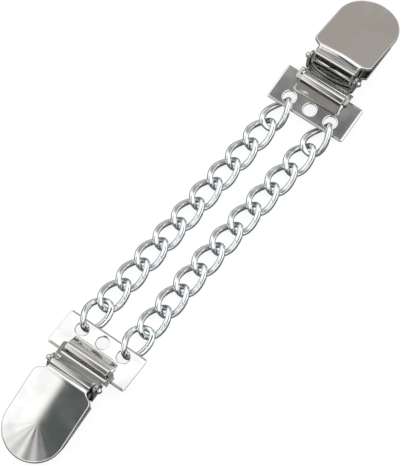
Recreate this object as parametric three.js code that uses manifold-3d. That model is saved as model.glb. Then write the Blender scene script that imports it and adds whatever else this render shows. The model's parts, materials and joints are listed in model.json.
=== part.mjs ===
// Cardigan clip: two cam-lever clips joined by two parallel curb chains, lying on its back.
// Millimetres, Z up. Y runs along the clip, X across it, and the floor is Z = 0.

import * as THREE from 'three';
import { mergeVertices } from 'three/addons/utils/BufferGeometryUtils.js';
import Module from 'manifold-3d';

const wasm = await Module();
wasm.setup();

const degrees = THREE.MathUtils.degToRad;

// Chains
const LINKS_PER_CHAIN = 11;
const WIRE_RADIUS = 0.8;
const LINK_HALF_WIDTH = 3.4;
const LINK_HALF_LENGTH = 5.25;
const LINK_PITCH = 8.2;
const LINK_TWIST = degrees(45);
const LINK_SQUARENESS = 2.4;
const END_LINK_ROLL = degrees(22);
const CHAIN_HEIGHT = 2.2;
const CHAIN_LEAN = degrees(4.5);
const RIGHT_CHAIN_BOW = 0.8;

// Hanger plate, the wide end plate with the three holes
const HANGER_WIDTH = 27;
const HANGER_DEPTH = 11.9;
const HANGER_SHEET = 0.9;
const HANGER_CORNER = 0.8;
const HANGER_TILT = degrees(5.5);
const HANGER_HEIGHT = 3.1;
const HOLE_RADIUS = 2;
const HOLE_SPACING = 7.3;
const HOLE_INSET = 3.3;
const EDGE_STRIP_MIDDLE = 0.65;
const STRIP_TO_LINK = 3.45;
const TONGUE_WIDTH = 14.8;
const TONGUE_ROOT = 6.3;
const TONGUE_CURL = 1.65;
const WINDOW_END = 9.9;
const HINGE_INSET = 10.2;
const HINGE_LIFT = 1.4;
const FAR_JAWS_TURN = degrees(1.3);
const FAR_JAWS_ASIDE = -0.45;

// Back plate, the lower jaw with the loop and the two ears
const SHEET = 0.8;
const BACK_HALF_WIDTH = 9;
const LOOP_END = -0.85;
const BAR_HALF_WIDTH = 0.75;
const SLOT_END = 2.6;
const LOOP_COINING = 0.2;
const COINING_END = 3;
const SLOT_HALF_WIDTH = 8;
const BACK_ROUND_CENTRE = 23.6;
const EAR_OUTSIDE = 8.3;
const EAR_START = 3.9;
const EAR_END = 9.3;
const EAR_TOP_RADIUS = 2;
const BEND_RADIUS = 1.3;
const TOOTH_COUNT = 9;
const TOOTH_HEIGHT = 0.7;
const TOOTH_WALL = 0.75;

// Pivot pin
const PIN_ALONG = 5.8;
const PIN_UP = 4;
const PIN_RADIUS = 0.6;
const PIN_HEAD_RADIUS = 0.95;
const PIN_HEAD_LENGTH = 1.25;

// Lever, measured from the pin in its own tilted frame
const LEVER_TILT = degrees(8.5);
const LEVER_PLANE = 3.95;
const LEVER_NEAR = 1.3;
const LEVER_HALF_WIDTH = 9.85;
const LEVER_NECK = 7;
const LEVER_SHOULDER = 5.2;
const LEVER_ROUND_CENTRE = 18.4;
const LEVER_CROWN = 0.8;
const LEVER_RIDGE_START = 4.2;
const LEVER_RIM = 1.15;
const LEVER_SHEET = 0.7;
const LIP_RADIUS = 3.5;
const LIP_START = degrees(48);
const LIP_END = degrees(102);
const CAM_RADIUS = 1.95;
const CAM_HEEL = 1.5;

// Grip plate, the sprung upper jaw under the lever
const GRIP_SHEET = 0.7;
const GRIP_HALF_WIDTH = 7.1;
const GRIP_START = 4;
const GRIP_HEEL = 1.2;
const GRIP_ROUND_CENTRE = 23.6;
const GRIP_REST = 1.45;
const GRIP_ARCH = 1.7;

const NICKEL = { color: 0xc9c6c0, roughness: 0.18, metalness: 1 };
const CHAIN_NICKEL = { color: 0xd2d1ce, roughness: 0.14, metalness: 1 };

// Turns a closed geometry into a solid for cutting and joining.
function solid(geometry) {
  const bare = new THREE.BufferGeometry();
  bare.setAttribute('position', geometry.getAttribute('position'));
  if (geometry.index) {
    bare.setIndex(geometry.index);
  }
  const merged = mergeVertices(bare, 1e-4);
  const corners = merged.index.array;
  const kept = [];
  for (let i = 0; i < corners.length; i += 3) {
    const [a, b, c] = corners.slice(i, i + 3);
    if (a !== b && b !== c && c !== a) {
      kept.push(a, b, c);
    }
  }
  return new wasm.Manifold(new wasm.Mesh({
    numProp: 3,
    vertProperties: new Float32Array(merged.getAttribute('position').array),
    triVerts: new Uint32Array(kept),
  }));
}

// Turns a solid back into geometry for a mesh.
function geometryOf(body) {
  const mesh = body.getMesh();
  const geometry = new THREE.BufferGeometry();
  geometry.setAttribute('position', new THREE.BufferAttribute(mesh.vertProperties, 3));
  geometry.setIndex(new THREE.BufferAttribute(mesh.triVerts, 1));
  geometry.computeVertexNormals();
  return geometry;
}

// A flat blank cut from sheet: outline in X and Y, thickness upwards from the given level.
function blank(shape, level, thickness, segments = 16) {
  const geometry = new THREE.ExtrudeGeometry(shape, {
    depth: thickness,
    bevelEnabled: false,
    curveSegments: segments,
  });
  return solid(geometry.translate(0, 0, level));
}

// A side profile in Y and Z carried straight across X from left to right.
function across(shape, left, right, segments = 12) {
  const geometry = new THREE.ExtrudeGeometry(shape, {
    depth: right - left,
    bevelEnabled: false,
    curveSegments: segments,
  });
  const turn = new THREE.Matrix4().makeBasis(
    new THREE.Vector3(0, 1, 0),
    new THREE.Vector3(0, 0, 1),
    new THREE.Vector3(1, 0, 0),
  );
  return solid(geometry.applyMatrix4(turn).translate(left, 0, 0));
}

// The side profile of bent sheet: a middle line thickened by half the sheet to each side.
function bentSheet(line, sheet) {
  const under = [];
  const over = [];
  line.forEach((point, i) => {
    const before = line[Math.max(i - 1, 0)];
    const after = line[Math.min(i + 1, line.length - 1)];
    const along = after.clone().sub(before).normalize();
    const side = new THREE.Vector2(-along.y, along.x).multiplyScalar(sheet / 2);
    over.push(point.clone().add(side));
    under.push(point.clone().sub(side));
  });
  return new THREE.Shape(under.concat(over.reverse()));
}

function arcPoints(centreY, centreZ, radius, from, to, steps) {
  return Array.from({ length: steps + 1 }, (_, i) => {
    const angle = from + (to - from) * i / steps;
    return new THREE.Vector2(centreY + radius * Math.cos(angle), centreZ + radius * Math.sin(angle));
  });
}

function circle(x, y, radius) {
  return new THREE.Path().absarc(x, y, radius, 0, 2 * Math.PI, true);
}

function roundedRectangle(left, right, front, back, corner) {
  return new THREE.Shape()
    .moveTo(left + corner, front)
    .absarc(right - corner, front + corner, corner, -Math.PI / 2, 0)
    .absarc(right - corner, back - corner, corner, 0, Math.PI / 2)
    .absarc(left + corner, back - corner, corner, Math.PI / 2, Math.PI)
    .absarc(left + corner, front + corner, corner, Math.PI, 1.5 * Math.PI);
}

function pinHole(along, up, radius) {
  const hole = new THREE.Shape().absarc(along, up, radius, 0, 2 * Math.PI);
  return across(hole, -12, 12, 6);
}

// Hanger plate: Y from its chain edge, Z from the middle of the sheet. A tongue is lanced out of
// the plate, bent up and curled over the bar of the back plate, which makes the hinge.
function hangerPlate() {
  const half = HANGER_SHEET / 2;
  const outline = roundedRectangle(-HANGER_WIDTH / 2, HANGER_WIDTH / 2, 0, HANGER_DEPTH, HANGER_CORNER);
  for (const place of [-1, 0, 1]) {
    outline.holes.push(circle(place * HOLE_SPACING, HOLE_INSET, HOLE_RADIUS));
  }
  const opening = TONGUE_WIDTH / 2 + 0.25;
  outline.holes.push(roundedRectangle(-opening, opening, TONGUE_ROOT, WINDOW_END, 0.4));
  const line = [
    new THREE.Vector2(TONGUE_ROOT - 0.6, 0),
    new THREE.Vector2(TONGUE_ROOT, 0),
    new THREE.Vector2(TONGUE_ROOT + 0.45, 0.18),
    ...arcPoints(HINGE_INSET, HINGE_LIFT, TONGUE_CURL, degrees(138), degrees(-8), 9),
  ];
  const tongue = across(bentSheet(line, HANGER_SHEET), -TONGUE_WIDTH / 2, TONGUE_WIDTH / 2);
  return blank(outline, -half, HANGER_SHEET, 8).add(tongue);
}

// Back plate: Y from the bar's middle, Z from its underside. The loop is coined thinner from below,
// which makes room for the far strip of the hanger plate.
function backPlate() {
  const flank = EAR_OUTSIDE - BEND_RADIUS;
  const outline = new THREE.Shape()
    .moveTo(-BACK_HALF_WIDTH + 1, LOOP_END)
    .absarc(BACK_HALF_WIDTH - 1, LOOP_END + 1, 1, -Math.PI / 2, 0)
    .lineTo(BACK_HALF_WIDTH, EAR_START - 0.4)
    .lineTo(flank, EAR_START - 0.4)
    .lineTo(flank, EAR_END + 0.4)
    .lineTo(BACK_HALF_WIDTH, EAR_END + 1.6)
    .absarc(0, BACK_ROUND_CENTRE, BACK_HALF_WIDTH, 0, Math.PI)
    .lineTo(-BACK_HALF_WIDTH, EAR_END + 1.6)
    .lineTo(-flank, EAR_END + 0.4)
    .lineTo(-flank, EAR_START - 0.4)
    .lineTo(-BACK_HALF_WIDTH, EAR_START - 0.4)
    .absarc(-BACK_HALF_WIDTH + 1, LOOP_END + 1, 1, Math.PI, 1.5 * Math.PI);
  outline.holes.push(
    roundedRectangle(-SLOT_HALF_WIDTH, SLOT_HALF_WIDTH, BAR_HALF_WIDTH, SLOT_END, 0.5),
  );
  const floor = blank(outline, 0, SHEET, 10);
  const coined = blank(roundedRectangle(-10, 10, -4, COINING_END, 1), -1, 1 + LOOP_COINING, 2);
  return floor.subtract(coined).add(ears()).add(toothedRim());
}

// The ears are one folded channel, trimmed to a rounded side profile and pierced for the pin.
function ears() {
  const inner = EAR_OUTSIDE - SHEET;
  const innerBend = BEND_RADIUS - SHEET;
  const section = new THREE.Shape()
    .moveTo(-EAR_OUTSIDE, 8)
    .absarc(-EAR_OUTSIDE + BEND_RADIUS, BEND_RADIUS, BEND_RADIUS, Math.PI, 1.5 * Math.PI)
    .absarc(EAR_OUTSIDE - BEND_RADIUS, BEND_RADIUS, BEND_RADIUS, 1.5 * Math.PI, 2 * Math.PI)
    .lineTo(EAR_OUTSIDE, 8)
    .lineTo(inner, 8)
    .absarc(inner - innerBend, BEND_RADIUS, innerBend, 0, -Math.PI / 2, true)
    .absarc(-inner + innerBend, BEND_RADIUS, innerBend, 1.5 * Math.PI, Math.PI, true)
    .lineTo(-inner, 8);
  const channel = new THREE.ExtrudeGeometry(section, {
    depth: EAR_END - EAR_START,
    bevelEnabled: false,
    curveSegments: 4,
  });
  channel.rotateX(Math.PI / 2).translate(0, EAR_END, 0);
  const side = new THREE.Shape()
    .moveTo(EAR_START, -1)
    .lineTo(EAR_END, -1)
    .lineTo(EAR_END, SHEET + 0.6)
    .absarc(PIN_ALONG, PIN_UP, EAR_TOP_RADIUS, degrees(5), degrees(170))
    .lineTo(EAR_START, SHEET + 0.8);
  const pierced = pinHole(PIN_ALONG, PIN_UP, PIN_RADIUS + 0.15);
  return solid(channel).intersect(across(side, -9, 9, 6)).subtract(pierced);
}

// The upturned rim round the end of the lower jaw, notched into teeth.
function toothedRim() {
  const start = degrees(14);
  const ring = new THREE.Shape()
    .absarc(0, BACK_ROUND_CENTRE, BACK_HALF_WIDTH, start, Math.PI - start)
    .absarc(0, BACK_ROUND_CENTRE, BACK_HALF_WIDTH - TOOTH_WALL, Math.PI - start, start, true);
  let rim = blank(ring, SHEET / 2, SHEET / 2 + TOOTH_HEIGHT, 10);
  for (let i = 0; i < TOOTH_COUNT - 1; i += 1) {
    const angle = start + (Math.PI - 2 * start) * (i + 1) / TOOTH_COUNT;
    const notch = new THREE.CylinderGeometry(0.75, 0.75, 4, 4).rotateZ(Math.PI / 2);
    notch.translate(BACK_HALF_WIDTH, 0, SHEET + TOOTH_HEIGHT + 0.1).rotateZ(angle);
    rim = rim.subtract(solid(notch.translate(0, BACK_ROUND_CENTRE, 0)));
  }
  return rim;
}

// Pivot pin: turned along X with a domed head outside each ear.
function pivotPin() {
  const face = EAR_OUTSIDE + 0.1;
  const dome = (sign) => Array.from({ length: 5 }, (_, i) => {
    const angle = Math.PI / 2 * (sign > 0 ? i : 4 - i) / 4;
    const reach = face + 0.3 + (PIN_HEAD_LENGTH - 0.3) * Math.sin(angle);
    return new THREE.Vector2(PIN_HEAD_RADIUS * Math.cos(angle), sign * reach);
  });
  const profile = [
    ...dome(-1),
    new THREE.Vector2(PIN_HEAD_RADIUS, -face),
    new THREE.Vector2(PIN_RADIUS, -face),
    new THREE.Vector2(PIN_RADIUS, face),
    new THREE.Vector2(PIN_HEAD_RADIUS, face),
    ...dome(1),
  ];
  profile[0].x = 0;
  profile[profile.length - 1].x = 0;
  return solid(new THREE.LatheGeometry(profile, 10).rotateZ(-Math.PI / 2));
}

// Right half of the lever's outline, from the middle of the hinge edge round to the tip.
function leverHalfOutline() {
  const path = new THREE.Path()
    .moveTo(LEVER_NECK - 0.5, LEVER_NEAR)
    .lineTo(LEVER_NECK, LEVER_NEAR + 0.5)
    .bezierCurveTo(
      LEVER_NECK + 0.2, LEVER_NEAR + 2.1,
      LEVER_HALF_WIDTH, LEVER_SHOULDER - 2.2,
      LEVER_HALF_WIDTH, LEVER_SHOULDER,
    );
  const sides = [1, 2, 3].map((i) => {
    const y = LEVER_SHOULDER + (LEVER_ROUND_CENTRE - LEVER_SHOULDER) * i / 4;
    return new THREE.Vector2(LEVER_HALF_WIDTH, y);
  });
  const round = arcPoints(0, LEVER_ROUND_CENTRE, LEVER_HALF_WIDTH, 0, Math.PI / 2, 9);
  return [
    new THREE.Vector2(0, LEVER_NEAR),
    new THREE.Vector2(LEVER_NECK / 2, LEVER_NEAR),
    ...path.getPoints(6),
    ...sides,
    ...round,
  ];
}

// The pressed cover of the lever: rings run from the ridge out to the rim, down its skirt and
// back along the inside. The height falls from the ridge to the rim as a shallow vault.
function leverCover() {
  const half = leverHalfOutline();
  const mirrored = half.slice(1, -1).reverse().map((p) => new THREE.Vector2(-p.x, p.y));
  const outline = half.concat(mirrored);
  const ridge = outline.map((p) => new THREE.Vector2(
    0,
    THREE.MathUtils.clamp(p.y, LEVER_RIDGE_START, LEVER_ROUND_CENTRE),
  ));
  const ring = (share, inset, height) => outline.map((p, i) => {
    const reach = p.clone().sub(ridge[i]);
    const length = reach.length();
    const place = ridge[i].clone().add(reach.multiplyScalar(share * (length - inset) / length));
    return new THREE.Vector3(place.x, place.y, LEVER_PLANE + height);
  });
  const vault = (share) => LEVER_CROWN * (1 - share ** 1.8);
  const rings = [0, 0.3, 0.6, 0.85, 0.97].map((share) => ring(share, 0, vault(share)));
  rings.push(ring(1, 0, -0.22));
  rings.push(ring(1, 0, -LEVER_RIM));
  rings.push(ring(1, LEVER_SHEET, -LEVER_RIM));
  rings.push(ring(1, LEVER_SHEET, -LEVER_SHEET));
  for (const share of [0.5, 0]) {
    rings.push(ring(share, LEVER_SHEET, vault(share) - LEVER_SHEET));
  }
  const corners = [];
  for (let i = 0; i + 1 < rings.length; i += 1) {
    outline.forEach((_, j) => {
      const next = (j + 1) % outline.length;
      const a = rings[i][j];
      const b = rings[i][next];
      const c = rings[i + 1][next];
      const d = rings[i + 1][j];
      corners.push(a, d, c, a, c, b);
    });
  }
  return solid(new THREE.BufferGeometry().setFromPoints(corners));
}

// Lever: Y and Z from the pin. The cover carries a rolled lip at the hinge edge and two cam ears.
function lever() {
  const middle = LIP_RADIUS - LEVER_SHEET / 2;
  const lipLine = arcPoints(0, 0, middle, LIP_START, LIP_END, 8);
  const lip = across(bentSheet(lipLine, LEVER_SHEET), -LEVER_NECK, LEVER_NECK);
  const cam = new THREE.Shape()
    .moveTo(LEVER_NEAR + 2.9, LEVER_PLANE - 0.5)
    .lineTo(LEVER_NEAR + 0.2, LEVER_PLANE - 0.5)
    .absarc(0, 0, middle, LIP_START + 0.1, LIP_END - 0.05)
    .absarc(0, 0, CAM_HEEL, degrees(150), degrees(215))
    .absarc(0, 0, CAM_RADIUS, degrees(275), degrees(360));
  let body = leverCover().add(lip);
  for (const side of [-1, 1]) {
    const outer = side * LEVER_NECK;
    const inner = side * (LEVER_NECK - LEVER_SHEET);
    body = body.add(across(cam, Math.min(inner, outer), Math.max(inner, outer), 6));
  }
  return body.subtract(pinHole(0, 0, PIN_RADIUS + 0.25));
}

// Grip plate: an arched strip with a rounded front and heel, Y and Z as in the back plate.
function gripPlate() {
  const front = GRIP_ROUND_CENTRE + GRIP_HALF_WIDTH;
  const archStart = 8;
  const line = [new THREE.Vector2(GRIP_START, GRIP_REST), new THREE.Vector2(archStart, GRIP_REST)];
  for (let i = 1; i <= 12; i += 1) {
    const share = i / 12;
    const lift = GRIP_ARCH * Math.sin(Math.PI * share) ** 2;
    line.push(new THREE.Vector2(archStart + (front - 2 - archStart) * share, GRIP_REST + lift));
  }
  line.push(new THREE.Vector2(front + 0.5, GRIP_REST));
  const strip = across(bentSheet(line, GRIP_SHEET), -GRIP_HALF_WIDTH, GRIP_HALF_WIDTH);
  const plan = new THREE.Shape()
    .moveTo(-GRIP_HALF_WIDTH, GRIP_START + GRIP_HEEL)
    .quadraticCurveTo(0, GRIP_START - GRIP_HEEL, GRIP_HALF_WIDTH, GRIP_START + GRIP_HEEL)
    .absarc(0, GRIP_ROUND_CENTRE, GRIP_HALF_WIDTH, 0, Math.PI);
  return strip.intersect(blank(plan, 0, 8, 16));
}

// The middle line of one curb link: a rounded oval twisted along its length, so that the wire
// stands on opposite slants at the two crowns.
class CurbLinkLine extends THREE.Curve {
  getPoint(share) {
    const angle = 2 * Math.PI * share;
    const bulge = (value) => Math.sign(value) * Math.abs(value) ** (2 / LINK_SQUARENESS);
    const wide = LINK_HALF_WIDTH * bulge(Math.cos(angle));
    const along = LINK_HALF_LENGTH * bulge(Math.sin(angle));
    const twist = LINK_TWIST * along / LINK_HALF_LENGTH;
    return new THREE.Vector3(wide * Math.cos(twist), along, wide * Math.sin(twist));
  }
}

function curbLink() {
  return solid(new THREE.TubeGeometry(new CurbLinkLine(), 22, WIRE_RADIUS, 7, true));
}

function meshOf(name, body, finish) {
  const mesh = new THREE.Mesh(geometryOf(body), new THREE.MeshStandardMaterial(finish));
  mesh.name = name;
  return mesh;
}

// One clip: the hanger plate rises from the chain to the hinge, and the back plate falls from
// the hinge to the floor, where the round end of its jaw rests. The hinge is loose, so the jaws may
// lie a little turned and a little aside in it.
function clip(prefix, turn, aside) {
  const group = new THREE.Group();
  group.name = `${prefix}_clip`;
  const hanger = meshOf(`${prefix}_hanger_plate`, hangerPlate(), NICKEL);
  const ahead = HINGE_INSET - EDGE_STRIP_MIDDLE;
  const rise = Math.sin(HANGER_TILT);
  const run = Math.cos(HANGER_TILT);
  hanger.position.set(0, -EDGE_STRIP_MIDDLE * run, HANGER_HEIGHT - EDGE_STRIP_MIDDLE * rise);
  hanger.rotation.x = HANGER_TILT;
  group.add(hanger);

  const hingeY = ahead * run - HINGE_LIFT * rise;
  const hingeZ = HANGER_HEIGHT + ahead * rise + HINGE_LIFT * run;
  const reach = BACK_ROUND_CENTRE + BACK_HALF_WIDTH;
  const fall = Math.asin(hingeZ / Math.hypot(reach, SHEET / 2)) - Math.atan2(SHEET / 2, reach);
  const jaws = new THREE.Group();
  jaws.name = `${prefix}_jaws`;
  jaws.position.set(aside, hingeY, hingeZ);
  jaws.rotation.set(-fall, 0, turn);
  group.add(jaws);

  const back = meshOf(`${prefix}_back_plate`, backPlate(), NICKEL);
  const grip = meshOf(`${prefix}_grip_plate`, gripPlate(), NICKEL);
  const pin = meshOf(`${prefix}_pivot_pin`, pivotPin(), NICKEL);
  const cover = meshOf(`${prefix}_lever`, lever(), NICKEL);
  back.position.z = -SHEET / 2;
  grip.position.z = -SHEET / 2;
  pin.position.set(0, PIN_ALONG, PIN_UP - SHEET / 2);
  cover.position.copy(pin.position);
  cover.rotation.x = -LEVER_TILT;
  jaws.add(back, grip, pin, cover);
  return group;
}

// One chain, from the far clip towards the near one. The flat run lies on the floor, and each
// end link climbs from it to the hole in its hanger plate.
const FLAT_HALF = (LINKS_PER_CHAIN - 2) / 2 * LINK_PITCH;
const END_REACH = LINK_PITCH / 2 + STRIP_TO_LINK;
const END_CLIMB = Math.asin((HANGER_HEIGHT - CHAIN_HEIGHT) / END_REACH);

function chain(prefix, offset, bow) {
  const group = new THREE.Group();
  group.name = `${prefix}_chain`;
  const middle = (LINKS_PER_CHAIN - 1) / 2;
  for (let i = 0; i < LINKS_PER_CHAIN; i += 1) {
    const number = String(i + 1).padStart(2, '0');
    const link = meshOf(`${prefix}_link_${number}`, curbLink(), CHAIN_NICKEL);
    const end = Math.abs(i - middle) === middle ? Math.sign(middle - i) : 0;
    const along = end === 0
      ? (middle - i) * LINK_PITCH
      : end * (FLAT_HALF + LINK_PITCH / 2 * Math.cos(END_CLIMB));
    const up = Math.abs(end) * LINK_PITCH / 2 * Math.sin(END_CLIMB);
    link.position.set(
      offset + along * Math.sin(CHAIN_LEAN) - bow * Math.sin(Math.PI * i / (2 * middle)),
      along * Math.cos(CHAIN_LEAN),
      CHAIN_HEIGHT + up,
    );
    link.rotation.set(end * END_CLIMB, -end * END_LINK_ROLL, -CHAIN_LEAN, 'ZXY');
    group.add(link);
  }
  return group;
}

// The clips stand at the two ends of the chains, the near one turned half round.
const span = FLAT_HALF + END_REACH * Math.cos(END_CLIMB);
const shift = span * Math.sin(CHAIN_LEAN);
const edge = span * Math.cos(CHAIN_LEAN);

const far = clip('far', FAR_JAWS_TURN, FAR_JAWS_ASIDE);
far.position.set(shift, edge, 0);
const near = clip('near', 0, 0);
near.position.set(-shift, -edge, 0);
near.rotation.z = Math.PI;

const cardiganClip = new THREE.Group();
cardiganClip.name = 'cardigan_clip';
cardiganClip.add(far, near, chain('left', -HOLE_SPACING, 0), chain('right', HOLE_SPACING, RIGHT_CHAIN_BOW));

export default cardiganClip;
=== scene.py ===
import json
import math

import bmesh
import bpy
import numpy as np
from mathutils import Matrix
from mathutils.geometry import delaunay_2d_cdt

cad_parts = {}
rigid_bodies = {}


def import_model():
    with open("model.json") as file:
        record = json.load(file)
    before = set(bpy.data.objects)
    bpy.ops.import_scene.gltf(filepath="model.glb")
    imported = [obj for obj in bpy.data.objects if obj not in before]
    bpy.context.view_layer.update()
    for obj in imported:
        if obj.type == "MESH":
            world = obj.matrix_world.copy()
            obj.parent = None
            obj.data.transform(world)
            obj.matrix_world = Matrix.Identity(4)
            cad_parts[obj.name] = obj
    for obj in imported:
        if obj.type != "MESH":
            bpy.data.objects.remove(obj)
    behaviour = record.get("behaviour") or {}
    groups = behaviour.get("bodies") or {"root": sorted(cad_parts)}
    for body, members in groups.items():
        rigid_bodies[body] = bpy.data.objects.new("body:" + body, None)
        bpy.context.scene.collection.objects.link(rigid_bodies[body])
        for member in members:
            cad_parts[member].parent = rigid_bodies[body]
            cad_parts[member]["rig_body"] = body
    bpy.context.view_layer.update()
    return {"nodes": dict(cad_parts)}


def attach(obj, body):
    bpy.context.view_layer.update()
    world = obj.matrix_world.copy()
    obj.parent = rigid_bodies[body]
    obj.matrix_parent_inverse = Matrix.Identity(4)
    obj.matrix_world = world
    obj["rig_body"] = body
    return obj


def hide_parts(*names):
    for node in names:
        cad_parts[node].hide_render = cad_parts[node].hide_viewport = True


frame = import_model()
scene = bpy.context.scene
scene.view_settings.view_transform = "Standard"
METRES = 0.001  # every size below is in millimetres
ROUNDING = 1e-6  # takes up rounding errors


# Camera: a long lens high on the right of the near end, so that the clip runs from the lower
# left of the picture to the upper right. The picture is 400 by 465.
LENS_AZIMUTH = math.radians(40.34)
LENS_ELEVATION = math.radians(68.54)
LENS_ROLL = math.radians(-5.05)
LENS_DISTANCE = 643.2
LENS_OFFSET = (-2.513, -1.082)
FOCAL_PIXELS = 2200
PICTURE_WIDTH = 400
SENSOR_WIDTH = 36

towards_lens = np.array([
    math.sin(LENS_AZIMUTH) * math.cos(LENS_ELEVATION),
    -math.cos(LENS_AZIMUTH) * math.cos(LENS_ELEVATION),
    math.sin(LENS_ELEVATION),
])
level = np.array([math.cos(LENS_AZIMUTH), math.sin(LENS_AZIMUTH), 0])
upright = np.cross(towards_lens, level)
picture_right = level * math.cos(LENS_ROLL) + upright * math.sin(LENS_ROLL)
picture_up = upright * math.cos(LENS_ROLL) - level * math.sin(LENS_ROLL)
lens_turn = np.stack([picture_right, picture_up, towards_lens], axis=1)
lens_place = lens_turn @ np.array([*LENS_OFFSET, LENS_DISTANCE]) * METRES

camera = bpy.data.objects.new("camera", bpy.data.cameras.new("camera"))
camera.matrix_world = Matrix.Translation(lens_place) @ Matrix(lens_turn.tolist()).to_4x4()
camera.data.sensor_fit = "HORIZONTAL"
camera.data.sensor_width = SENSOR_WIDTH
camera.data.lens = FOCAL_PIXELS * SENSOR_WIDTH / PICTURE_WIDTH
scene.collection.objects.link(camera)
scene.camera = camera


# Light: a photographer's tent, white overhead with one dark gap that runs from front to back beside
# the lens, white at the sides, grey at front and back, with a black card low at the front right.
# The polished metal shows them as its faces. Stops of walls go by height, 0 level and 1 overhead.
WHITE = (1, 1, 1, 1)
BLACK = (0, 0, 0, 1)
GAP = (0.064, 0.077, 0.075, 1)
GAP_SIDE = (0.990, 0.139, 0)
GAP_EDGE = ((0.28, WHITE), (0.345, (0.50, 0.48, 0.44, 1)), (0.38, (0.25, 0.24, 0.23, 1)))
GAP_ACROSS = (*GAP_EDGE, (0.405, GAP), (0.54, GAP), (0.59, WHITE))
GAP_ALONG = ((0.20, WHITE), (0.24, BLACK), (0.58, BLACK), (0.66, WHITE))
TENT = (1.29, 1.31, 1.34, 1)
FRONT_STOPS = (
    (0.00, (0.18, 0.18, 0.18, 1)),
    (0.12, (0.30, 0.29, 0.28, 1)),
    (0.46, (0.30, 0.29, 0.28, 1)),
    (0.54, (0.04, 0.04, 0.04, 1)),
    (0.66, (0.04, 0.04, 0.04, 1)),
    (0.74, TENT),
)
BACK_STOPS = (
    (0.00, (0.20, 0.20, 0.20, 1)),
    (0.08, (0.80, 0.80, 0.80, 1)),
    (0.27, (0.80, 0.80, 0.80, 1)),
    (0.34, (0.41, 0.38, 0.35, 1)),
    (0.57, (0.43, 0.40, 0.37, 1)),
    (0.62, (0.52, 0.53, 0.535, 1)),
    (0.76, TENT),
)
SIDE_STOPS = (
    (0.00, (0.12, 0.12, 0.12, 1)),
    (0.08, (0.50, 0.51, 0.52, 1)),
    (0.25, (1.05, 1.06, 1.07, 1)),
    (0.60, TENT),
)
END_BLEND = 0.1
SIDE_FROM = 0.40
SIDE_TO = 0.70
RIGHT_WIDER = 1.6
CARD = (0.03, 0.034, 0.034, 1)
CARD_SIDE = (0.8, -0.6, 0)
CARD_FROM = 0.55
CARD_TO = 0.75
CARD_TOP = 0.58
CARD_FADE = 0.16


def add_node(tree, kind, place, **settings):
    """Adds one shader node and sets the properties that are named."""
    made = tree.nodes.new(kind)
    made.location = place
    for name, value in settings.items():
        setattr(made, name, value)
    return made


def colour_ramp(tree, stops, place):
    """A ramp through the given positions and colours."""
    made = add_node(tree, "ShaderNodeValToRGB", place)
    elements = made.color_ramp.elements
    while len(elements) < len(stops):
        elements.new(1)
    for element, (position, colour) in zip(elements, stops):
        element.position = position
        element.color = colour
    return made


def ranged(tree, low, high, place, **settings):
    """A node that maps the values between low and high to the values from 0 to 1."""
    made = add_node(tree, "ShaderNodeMapRange", place, **settings)
    made.inputs["From Min"].default_value = low
    made.inputs["From Max"].default_value = high
    return made


def connect(tree, *links):
    """Links nodes: each link says a node and its output, then a node and its input."""
    for source, output, target, entry in links:
        tree.links.new(source.outputs[output], target.inputs[entry])


tent = bpy.data.worlds.new("light_tent")
scene.world = tent
tent.use_nodes = True
tree = tent.node_tree
tree.nodes.clear()
direction = add_node(tree, "ShaderNodeTexCoord", (-1100, 0))
place = add_node(tree, "ShaderNodeSeparateXYZ", (-900, 0))
front = colour_ramp(tree, FRONT_STOPS, (-700, 0))
back = colour_ramp(tree, BACK_STOPS, (-700, 200))
behind = ranged(tree, -END_BLEND, END_BLEND, (-700, 400))
ends = add_node(tree, "ShaderNodeMix", (-500, 0), data_type="RGBA")
sides = colour_ramp(tree, SIDE_STOPS, (-500, 500))
to_left = add_node(tree, "ShaderNodeMath", (-900, 300), operation="MULTIPLY")
to_left.inputs[1].default_value = -1
to_right = add_node(tree, "ShaderNodeMath", (-900, 500), operation="MULTIPLY")
to_right.inputs[1].default_value = RIGHT_WIDER
aside = add_node(tree, "ShaderNodeMath", (-700, 300), operation="MAXIMUM")
beside = ranged(tree, SIDE_FROM, SIDE_TO, (-500, 300), interpolation_type="SMOOTHSTEP")
walls = add_node(tree, "ShaderNodeMix", (-300, 200), data_type="RGBA")
to_card = add_node(tree, "ShaderNodeVectorMath", (-700, 700), operation="DOT_PRODUCT")
to_card.inputs[1].default_value = CARD_SIDE
at_card = ranged(tree, CARD_FROM, CARD_TO, (-500, 700), interpolation_type="SMOOTHSTEP")
under_top = ranged(tree, CARD_TOP, CARD_TOP - CARD_FADE, (-500, 900),
                   interpolation_type="SMOOTHSTEP")
on_card = add_node(tree, "ShaderNodeMath", (-300, 700), operation="MULTIPLY")
carded = add_node(tree, "ShaderNodeMix", (-100, 400), data_type="RGBA")
carded.inputs["B"].default_value = CARD
sideways = add_node(tree, "ShaderNodeVectorMath", (-900, -300), operation="DOT_PRODUCT")
sideways.inputs[1].default_value = GAP_SIDE
across = ranged(tree, -1, 1, (-700, -300))
along = ranged(tree, -1, 1, (-700, -600))
gap = colour_ramp(tree, GAP_ACROSS, (-500, -300))
gap_end = colour_ramp(tree, GAP_ALONG, (-500, -600))
closed = add_node(tree, "ShaderNodeMix", (-300, -400), data_type="RGBA", blend_type="LIGHTEN")
closed.inputs["Factor"].default_value = 1
shaded = add_node(tree, "ShaderNodeMix", (-300, -100), data_type="RGBA", blend_type="MULTIPLY")
shaded.inputs["Factor"].default_value = 1
ray = add_node(tree, "ShaderNodeLightPath", (-500, 1100))
seen = add_node(tree, "ShaderNodeMix", (-200, 0), data_type="RGBA")
seen.inputs["B"].default_value = WHITE
background = add_node(tree, "ShaderNodeBackground", (0, 0))
output = add_node(tree, "ShaderNodeOutputWorld", (200, 0))
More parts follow.
